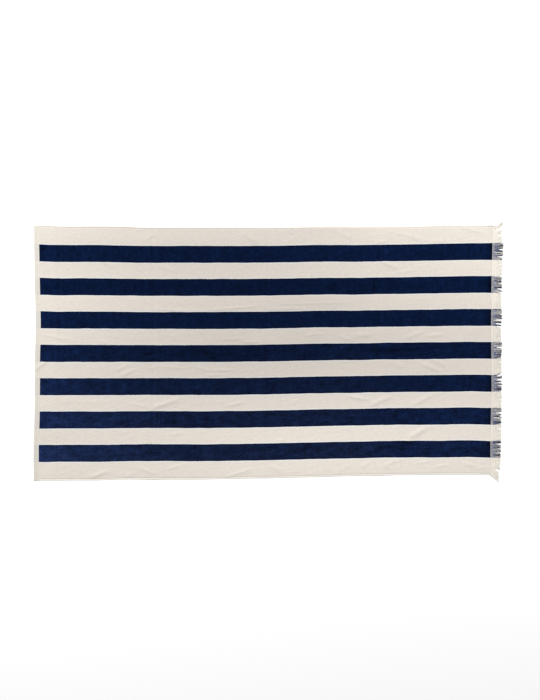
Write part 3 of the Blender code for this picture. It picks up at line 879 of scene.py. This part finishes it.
def band_weave():
    """The band's material: plain weave in which the navy warp shows by spots."""
    material, add, shader = cotton("plain-weave cotton band", *WEAVE_FINISH)
    navy, _, place = add(GROUP, node_tree=stripes).outputs
    along_here, across_here, _ = add(SPLIT, (place,)).outputs
    weave = weave_height(add, place)
    pick = stretched_noise(add, place, PICK, Detail=3.0)
    warp = add(MATH, (weave, PICK_WEAVE, pick), 'MULTIPLY_ADD')
    share = add(RANGE, (warp, *WARP_SHOWS))
    start = add(RANGE, (along_here, *(PILE_LENGTH + ends for ends in FIRST_PICKS), FIRST_SHARE))
    for factor in (start, navy):
        share = add(MATH, (share, factor), 'MULTIPLY')
    # The cream takes a painted shade, darker towards the middle of the end.
    cream = painted_shade_by_side(add, linear(BAND_CREAM)[:3], across_here)
    colour = add(MIX, (share, cream, BAND_NAVY), 'RGBA')
    # A brown painted shade at the far corner.
    ends = [TOWEL_WIDTH / 2 - inset for inset in CORNER_SHADE_REACH]
    corner_shade = add(RANGE, (across_here, *ends, 0.0, CORNER_SHADE_SHARE))
    colour = add(MIX, (corner_shade, colour, FAR_CORNER_PAINTED_SHADE), 'RGBA')
    dress(add, shader, colour, (weave, 0.7, BAND_RISE))
    return material


band.data.materials.append(band_weave())
print("band material:", band.data.materials[0].name)

# %% [markdown]
# ## The fringe
#
# Beyond the band the weft stops and the warp is left free. The yarns are two-ply
# cotton, about 1 mm thick, and handling has gathered them into locks that lean,
# part and cross. Each row of the table is one lock: where it is rooted on Y, where
# its tip lies, and how far out on X it reaches. Python shares out the yarns as
# plain points; Geometry Nodes turns each point into a twisted, tapering yarn.

# %% Locks of the fringe
LOCKS = table(
    "root_from root_to tip_from tip_to reach bend",
    # near corner, splayed
    (-492, -460, -509, -470, 896, 1.2), (-460, -449, -462, -449, 901.5), (-448, -432, -447, -433, 902.4),
    (-431, -414, -431, -415, 904),
    # from the seventh navy stripe on
    (-413, -397, -413, -398, 904.5), (-396, -381, -395, -382, 905.5), (-380, -362, -379, -367, 905.2),
    (-361, -349, -358, -348, 906.5), (-348, -336, -346, -336, 906), (-336, -320, -333, -320, 906.2),
    (-319, -304, -317, -303, 906), (-303, -286, -300, -284, 906),
    # from the sixth
    (-285, -274, -282, -275, 907.5), (-273, -263, -273, -266, 905.2), (-262, -252, -261, -255, 908),
    (-252, -241, -249, -243, 907.2), (-239, -222, -238, -223, 908), (-221, -205, -220, -206, 906.4),
    (-204, -189, -203, -190, 907.5), (-188, -173, -188, -174, 907.2), (-172, -157, -171, -158, 906.4),
    # from the fifth
    (-156, -136, -156, -136, 908.4), (-135, -121, -132, -128, 911.4), (-119, -113, -121, -116, 908),
    (-111, -99, -107, -95, 910.2), (-97, -90, -86, -82, 907), (-90, -77, -82, -71, 906.4),
    (-76, -62, -70, -58, 906.8), (-61, -46, -56, -41, 907), (-45, -28, -39, -23, 907.2),
    # from the fourth
    (-27, -9, -21, -9, 907.5), (-7, 13, -7, 10, 909.8), (16, 36, 17, 34, 910.2), (37, 49, 37, 49, 906.4),
    (50, 63, 50, 60, 906.2), (64, 77, 63, 73, 906), (78, 93, 75, 85, 905.8),
    # from the third
    (94, 99, 88, 92, 902.5), (100, 106, 97, 102, 907), (109, 122, 110, 119, 908.6),
    (124, 133, 125, 131, 911.8), (134, 146, 133, 142, 910.4), (147, 165, 146, 163, 909.6),
    (166, 180, 166, 177, 907.2), (181, 194, 180, 191, 906.8), (195, 211, 193, 205, 906.4),
    (211, 227, 207, 216, 907.6),
    # from the second
    (227, 231, 218, 224, 907.2), (232, 242, 229, 237, 910.2), (244, 262, 245, 260, 910.4),
    (263, 276, 264, 276, 908.8), (277, 292, 278, 290, 909.6), (293, 308, 294, 306, 910.6),
    (309, 323, 310, 322, 911.2), (324, 338, 325, 337, 910.4), (339, 353, 340, 352, 909.8),
    # from the first; last comes the far corner, a wisp that points outwards
    (354, 368, 354, 364, 911.4), (370, 396, 371, 393, 914.2), (397, 420, 399, 421, 915.4),
    (421, 434, 423, 437, 910.4), (435, 450, 439, 454, 908.8), (451, 461, 455, 463, 906.5),
    (461, 470, 464, 475, 910, 1.6), (470, 485, 489, 505, 911.5, 1.4),
    defaults=(2.0,),
)
YARN_THICK = 1.1
YARNS_PER_MM = 1.5
NAVY_YARNS = 0.73  # share of the yarns in a navy stripe
ROOT_DEPTH = 10.0  # mm of each yarn that lies on the band
ROOT_LEVEL = 1.15  # mm, the lower yarns' middle there
ROOT_LAYER = 0.35  # mm that the upper ones lie over them
TIP_LEVEL = 0.5  # of a yarn's thickness, likewise at the tip
TIP_LAYER = 0.8
TIP_LIFT = 0.5  # mm, at most
TIP_ROUNDING = 1.6  # mm that a lock's outer yarns are shorter
TIP_UNEVEN = 1.4  # mm that a single yarn is shorter, at most
TIP_STRAY = 0.8  # mm that it strays aside
BUNCH = (4.5, 8.5)  # mm, yarns of a lock that cling together
BUNCH_LEAN = 1.5  # mm
BUNCH_SHORT = 0.9  # mm
CLING = 0.15  # how far a bunch's yarns close up at the tip
CREAM_LONGER = 3.4  # mm added to every reach
NAVY_LONGER = 2.2
chance = random.Random(11)


def share_across(y):
    """How far Y is on the way from the near side to the far one, at the end of the pile."""
    near, far = LONG_EDGES[-1].near, LONG_EDGES[-1].far
    return (y - near) / (far - near)


def in_navy(y):
    """Whether a yarn rooted at Y belongs to a navy stripe."""
    here = (share_across(y) - 0.5) * TOWEL_WIDTH * (1 - STRIPES_SPREAD) - STRIPES_MIDDLE
    nearest = round(here / STRIPE_PERIOD)
    within = abs(here - nearest * STRIPE_PERIOD) < NAVY_WIDTH / 2
    return within and abs(nearest) <= NAVY_STRIPES // 2


def root_line(y):
    """X of the band's outer edge at Y."""
    return float(along_curve(SHORT_EDGES, "pile", np.clip(share_across(y), 0.0, 1.0))) + BAND_WIDTH


def bunches(lock):
    """A lock's bunches of yarns: where each starts and ends on the root, its lean and its lack."""
    made = []
    start = lock.root_from
    while start < lock.root_to:
        end = start + chance.uniform(*BUNCH)
        if lock.root_to - end < BUNCH[0]:
            end = lock.root_to
        made.append((start, end, chance.uniform(-BUNCH_LEAN, BUNCH_LEAN), BUNCH_SHORT * chance.random()))
        start = end
    return made


Yarn = namedtuple("Yarn", "root tip dyed tone bend")
yarns = []
for lock in LOCKS:
    lock_width = lock.root_to - lock.root_from
    for start, end, lean, lack in bunches(lock):
        count = max(2, round((end - start) * YARNS_PER_MM))
        for index in range(count):
            y = start + (end - start) * (index + 0.5) / count
            dyed = in_navy(y) and chance.random() < NAVY_YARNS
            share = (y - lock.root_from) / lock_width
            middle = ((start + end) / 2 - lock.root_from) / lock_width
            tip_share = share + (middle - share) * CLING
            tip = lock.tip_from + (lock.tip_to - lock.tip_from) * tip_share
            tip += lean * (1.0 - abs(2 * middle - 1)) + chance.uniform(-TIP_STRAY, TIP_STRAY)
            longer = NAVY_LONGER if in_navy(y) else CREAM_LONGER
            reach = lock.reach + longer - TIP_ROUNDING * (2 * share - 1) ** 2
            reach -= lack + TIP_UNEVEN * chance.random() ** 2
            layer = index % 2
            level = YARN_THICK * (TIP_LEVEL + TIP_LAYER * layer) + chance.uniform(0.0, TIP_LIFT)
            root = (root_line(y) - ROOT_DEPTH, y, ROOT_LEVEL + ROOT_LAYER * layer)
            yarns.append(Yarn(root, (reach, tip, level), float(dyed), chance.random(), lock.bend))
print("yarns:", len(yarns), "of them navy", int(sum(yarn.dyed for yarn in yarns)))

# %% [markdown]
# The tree below puts a straight line on each point, and moves the line's points
# onto the way from the yarn's root to its tip: the sideways part grows with a
# power of the way, so that a yarn leaves the band straight and bends later.
# Tilting an oval section along the way gives the twist of two plies.

# %% Yarn tree in Geometry Nodes
YARN_SIDES = 7
TWO_PLY = (1.15, 0.72, 1.0)  # the section's oval, against a round yarn
SWAY = 8.0  # radians of a yarn's sideways wave, from root to tip
TIP_TAPER = (0.84, 1.0, 1.0, 0.45)  # of the way, and shares of the thickness
ROOT_TAPER = (0.0, 0.2, 0.3, 1.0)


def new_geometry_tree(name, sizes):
    """A tree from a mesh to a mesh with named sizes, a function that adds its nodes, its inputs."""
    tree = bpy.data.node_groups.new(name, 'GeometryNodeTree')
    for label, kind in {"Geometry": 'Geometry', **sizes, "Material": 'Material'}.items():
        tree.interface.new_socket(name=label, in_out='INPUT', socket_type="NodeSocket" + kind)
    tree.interface.new_socket(name="Geometry", in_out='OUTPUT', socket_type='NodeSocketGeometry')
    return tree, partial(add_node, tree), add_node(tree, 'NodeGroupInput').outputs


def end_tree(add, geometry, material):
    """End a tree: make its instances real, and give them their material."""
    whole = add('GeometryNodeRealizeInstances', (geometry,))
    done = add('GeometryNodeSetMaterial', {"Geometry": whole, "Material": material})
    add('NodeGroupOutput', (done,))


def yarn_tree():
    """The tree that makes a twisted yarn from each point."""
    tree, add, given = new_geometry_tree("twisted yarns", {
        "Yarn thickness": 'Float', "Rings": 'Int', "Turns": 'Float', "Wave": 'Float'})
    line = add('GeometryNodeCurvePrimitiveLine', {"End": (1.0, 0.0, 0.0)})
    line = add('GeometryNodeResampleCurve', {"Curve": line, "Count": given["Rings"]})
    placed = add('GeometryNodeInstanceOnPoints', {"Points": given["Geometry"], "Instance": line})
    lines = add('GeometryNodeRealizeInstances', (placed,))
    way = add('GeometryNodeSplineParameter')
    root, tip = (add(NAMED, (name,), 'FLOAT_VECTOR') for name in ("root", "tip"))
    tone, bend = (add(NAMED, (name,)) for name in ("tone", "bend"))

    shares = add(JOIN, (way, add(MATH, (way, bend), 'POWER'), way))
    span = add(VECTOR, (tip, root), 'SUBTRACT')
    route = add(VECTOR, (span, shares, root), 'MULTIPLY_ADD')
    start = add(MATH, (tone, math.tau), 'MULTIPLY')
    swing = add(MATH, (way, SWAY, start), 'MULTIPLY_ADD')
    swing = add(MATH, (swing,), 'SINE')
    for factor in (way, given["Wave"]):
        swing = add(MATH, (swing, factor), 'MULTIPLY')
    route = add(VECTOR, (route, add(JOIN, {"Y": swing})), 'ADD')
    moved = add('GeometryNodeSetPosition', {"Geometry": lines, "Position": route})
    moved = add('GeometryNodeStoreNamedAttribute', {"Geometry": moved, "Name": "way", "Value": way})

    twist = add(MATH, (given["Turns"], math.tau), 'MULTIPLY')
    twist = add(MATH, (way, twist, start), 'MULTIPLY_ADD')
    twisted = add('GeometryNodeSetCurveTilt', {"Curve": moved, "Tilt": twist})
    tapers = [add(RANGE, (way, *ends)) for ends in (TIP_TAPER, ROOT_TAPER)]
    sized = add('GeometryNodeSetCurveRadius',
                {"Curve": twisted, "Radius": add(MATH, tapers, 'MULTIPLY')})
    half = add(MATH, (given["Yarn thickness"], 0.5), 'MULTIPLY')
    section = add('GeometryNodeCurvePrimitiveCircle', (YARN_SIDES, half))
    oval = add('GeometryNodeTransform', {"Geometry": section, "Scale": TWO_PLY})
    tube = add('GeometryNodeCurveToMesh', {"Curve": sized, "Profile Curve": oval, "Fill Caps": True})
    end_tree(add, tube, given["Material"])
    return tree


def grow(name, data, tree, values):
    """Run a tree with its named inputs over a mesh, and keep the result as a plain piece."""
    piece = new_object(name, data)
    modifier = piece.modifiers.new(tree.name, 'NODES')
    modifier.node_group = tree
    for socket in tree.interface.items_tree:
        if socket.name in values:
            modifier[socket.identifier] = values[socket.name]
    finish_piece(piece)
    return piece


twisted_yarns = yarn_tree()
print("yarn tree:", len(twisted_yarns.nodes), "nodes")

# %% [markdown]
# The free yarns are soft two-ply cotton: matt threads with a fuzz of loose fibre
# and a slightly different tone from one to the next. They keep the colour of their
# warp. Navy ones are paler at the root, where they rubbed in the weave. Cream ones
# take a painted shade where their roots lie packed and towards the middle of the
# end, and a brown painted shade in the far corner's wisp.

# %% Yarn material and the fringe itself
YARN_CREAM = "#f2ede5"
YARN_CREAM_SHADE = "#e8e2d6"
YARN_NAVY = "#343c5a"
YARN_NAVY_LIGHT = "#6a738b"
YARN_FINISH = (0.92, 0.1)
ROOT_SHADE = 0.22  # of the way, where the cream is darkest: painted shade where the roots lie packed by their neighbours
ROOT_TONES = (0.0, 0.2, 0.945, 1.0)  # from there, and tones
NAVY_DEEPENS = (0.2, 0.7, 1.22, 0.42)  # of the way, and tones
WISP_PAINTED_SHADE = (476.0, 492.0, 0.0, 0.25)  # Y, and how much brown painted shade the far corner's wisp takes
FUZZ = 0.25  # mm
FUZZ_RISE = 0.15  # mm


def yarn_cotton():
    """The yarns' material, which reads what each yarn keeps of itself."""
    material, add, shader = cotton("two-ply cotton yarn", *YARN_FINISH)
    dyed, tone, way = (add('ShaderNodeAttribute', attribute_name=name).outputs["Fac"]
                       for name in ("dyed", "tone", "way"))
    place = add('ShaderNodeTexCoord').outputs["Object"]
    across_here = add(MATH, (add(SPLIT, (place,)).outputs[1], 1 / MM), 'MULTIPLY')
    cream = add(MIX, (tone, YARN_CREAM_SHADE, YARN_CREAM), 'RGBA')
    # Painted shade on the cream where the roots lie packed.
    from_dark = add(MATH, (way, ROOT_SHADE), 'SUBTRACT')
    from_dark = add(MATH, (from_dark,), 'ABSOLUTE')
    cream = add(VECTOR, (cream, add(RANGE, (from_dark, *ROOT_TONES))), 'SCALE')
    cream = painted_shade_by_side(add, cream, across_here)
    # A brown painted shade in the far corner's wisp.
    wisp = add(RANGE, (across_here, *WISP_PAINTED_SHADE))
    cream = add(MIX, (wisp, cream, FAR_CORNER_PAINTED_SHADE), 'RGBA')
    navy = add(MIX, (tone, YARN_NAVY, YARN_NAVY_LIGHT), 'RGBA')
    navy = add(VECTOR, (navy, add(RANGE, (way, *NAVY_DEEPENS))), 'SCALE')
    fuzz = add(NOISE, (place, 1 / (FUZZ * MM)))
    dress(add, shader, add(MIX, (dyed, cream, navy), 'RGBA'), (fuzz, 0.4, FUZZ_RISE))
    return material


def yarn_points(name, dyed):
    """The roots of the cream or the navy yarns as a mesh of points that keep their facts."""
    picked = [yarn for yarn in yarns if yarn.dyed == dyed]
    data = bpy.data.meshes.new(name)
    data.from_pydata([[c * MM for c in yarn.root] for yarn in picked], [], [])
    for fact in ("root", "tip"):
        layer = data.attributes.new(fact, 'FLOAT_VECTOR', 'POINT')
        layer.data.foreach_set("vector", [c * MM for yarn in picked for c in getattr(yarn, fact)])
    for fact in ("dyed", "tone", "bend"):
        layer = data.attributes.new(fact, 'FLOAT', 'POINT')
        layer.data.foreach_set("value", [getattr(yarn, fact) for yarn in picked])
    return data


yarn_sizes = {"Yarn thickness": YARN_THICK * MM, "Rings": 12, "Turns": 3.0, "Wave": 1.3 * MM,
              "Material": yarn_cotton()}
cream_yarns = grow("cream_fringe_yarns", yarn_points("cream_yarns", 0.0), twisted_yarns, yarn_sizes)
navy_yarns = grow("navy_fringe_yarns", yarn_points("navy_yarns", 1.0), twisted_yarns, yarn_sizes)
print("yarn faces:", len(cream_yarns.data.polygons), len(navy_yarns.data.polygons))

# %% [markdown]
# ## Stitches
#
# Three rows of lockstitch hold the hems: across the left end and along the two
# sides. Each stitch is a short arch of thread that dips into the cloth at both
# ends. A tree resamples each row's line at the stitch's pitch and puts one arch on
# every point, turned along the line.

# %% Stitch tree
STITCH_SIDES = 5
STITCH_SWAY = 0.12  # radians that a stitch may be turned aside


def stitch_tree():
    """The tree that lays stitches along a line."""
    tree, add, given = new_geometry_tree("lockstitch", {
        "Pitch": 'Float', "Stitch length": 'Float', "Thread": 'Float', "Seed": 'Int'})
    line = add('GeometryNodeMeshToCurve', (given["Geometry"],))
    spots = add('GeometryNodeResampleCurve', {"Curve": line, "Length": given["Pitch"]}, mode='LENGTH')
    half, radius = (add(MATH, (given[size], 0.5), 'MULTIPLY') for size in ("Stitch length", "Thread"))
    back, sink = (add(MATH, (size, -1.0), 'MULTIPLY') for size in (half, given["Thread"]))
    arch = add('GeometryNodeCurveQuadraticBezier', {
        "Resolution": STITCH_SIDES,
        "Start": add(JOIN, {"X": back, "Z": sink}),
        "Middle": add(JOIN, {"Z": given["Thread"]}),
        "End": add(JOIN, {"X": half, "Z": sink}),
    })
    section = add('GeometryNodeCurvePrimitiveCircle', (STITCH_SIDES, radius))
    thread = add('GeometryNodeCurveToMesh',
                 {"Curve": arch, "Profile Curve": section, "Fill Caps": True})
    turned = add('FunctionNodeAlignRotationToVector', {"Vector": add('GeometryNodeInputTangent')},
                 axis='X', pivot_axis='Z')
    # Of this node's sockets called Min and Max, 2 and 3 are the plain numbers.
    sway = add('FunctionNodeRandomValue',
               {2: -STITCH_SWAY, 3: STITCH_SWAY, "Seed": given["Seed"]})
    spin = add('FunctionNodeEulerToRotation', (add(JOIN, {"Z": sway}),))
    placed = add('GeometryNodeInstanceOnPoints', {
        "Points": spots, "Instance": thread,
        "Rotation": add('FunctionNodeRotateRotation', (turned, spin))})
    end_tree(add, placed, given["Material"])
    return tree


lockstitch = stitch_tree()
print("stitch tree:", len(lockstitch.nodes), "nodes")

# %% Thread and rows of stitches
STITCH_PITCH = 3.2
STITCH_LENGTH = 2.7
STITCH_THREAD = 0.42
LEFT_SEAM = 11.7  # from the left edge
SEAM_STEP = 6.0  # mm between the points of a seam's line
SEAM_END = 3.0  # mm from each end, where the side seams stop
THREAD_SHADE = "#e8e1d3"
THREAD_LIGHT = "#faf6ec"
THREAD = {"Roughness": 0.6, "Specular IOR Level": SPECULAR}


def seam_line(name, along_places, across_places):
    """A polyline on top of the cloth, through the given flat places."""
    a, c = np.broadcast_arrays(np.asarray(along_places, float), np.asarray(across_places, float))
    places = np.column_stack([*place_on_ground(a, c), cloth_lift(a, c) + cloth_thickness(a, c)])
    data = bpy.data.meshes.new(name)
    data.from_pydata((places * MM).tolist(), [(i, i + 1) for i in range(len(a) - 1)], [])
    return data


thread_material, add, shader = new_material("spun sewing thread", THREAD)
place = add('ShaderNodeTexCoord').outputs["Object"]
tone = add(NOISE, (place, 1 / MM))
dress(add, shader, add(MIX, (tone, THREAD_SHADE, THREAD_LIGHT), 'RGBA'))

stitch_sizes = {"Pitch": STITCH_PITCH * MM, "Stitch length": STITCH_LENGTH * MM,
                "Thread": STITCH_THREAD * MM, "Seed": 5, "Material": thread_material}
seam_inset = TOWEL_WIDTH / 2 - SIDE_SEAM
end_places = grid_places(-seam_inset, seam_inset, SEAM_STEP)
side_places = grid_places(SEAM_END, PILE_LENGTH - SEAM_END, SEAM_STEP)
seams = [
    ("left_hem_stitches", LEFT_SEAM, end_places),
    ("near_side_stitches", side_places, -seam_inset),
    ("far_side_stitches", side_places, seam_inset),
]
stitch_rows = [grow(name, seam_line(name, *places), lockstitch, stitch_sizes)
               for name, *places in seams]
print("stitch faces:", [len(row.data.polygons) for row in stitch_rows])

# %% [markdown]
# ## Joining the model
#
# Every piece rides on the towel's one body. The cloth stands for the plain solid
# of the cloth, and the band and its yarns for the solid of the fringe.

# %% Tie the pieces to the model
for piece in [cloth, *stitch_rows]:
    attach(piece, "root")
for piece in (band, cream_yarns, navy_yarns):
    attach(piece, "root")
    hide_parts("fringe")
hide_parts("towel_cloth")
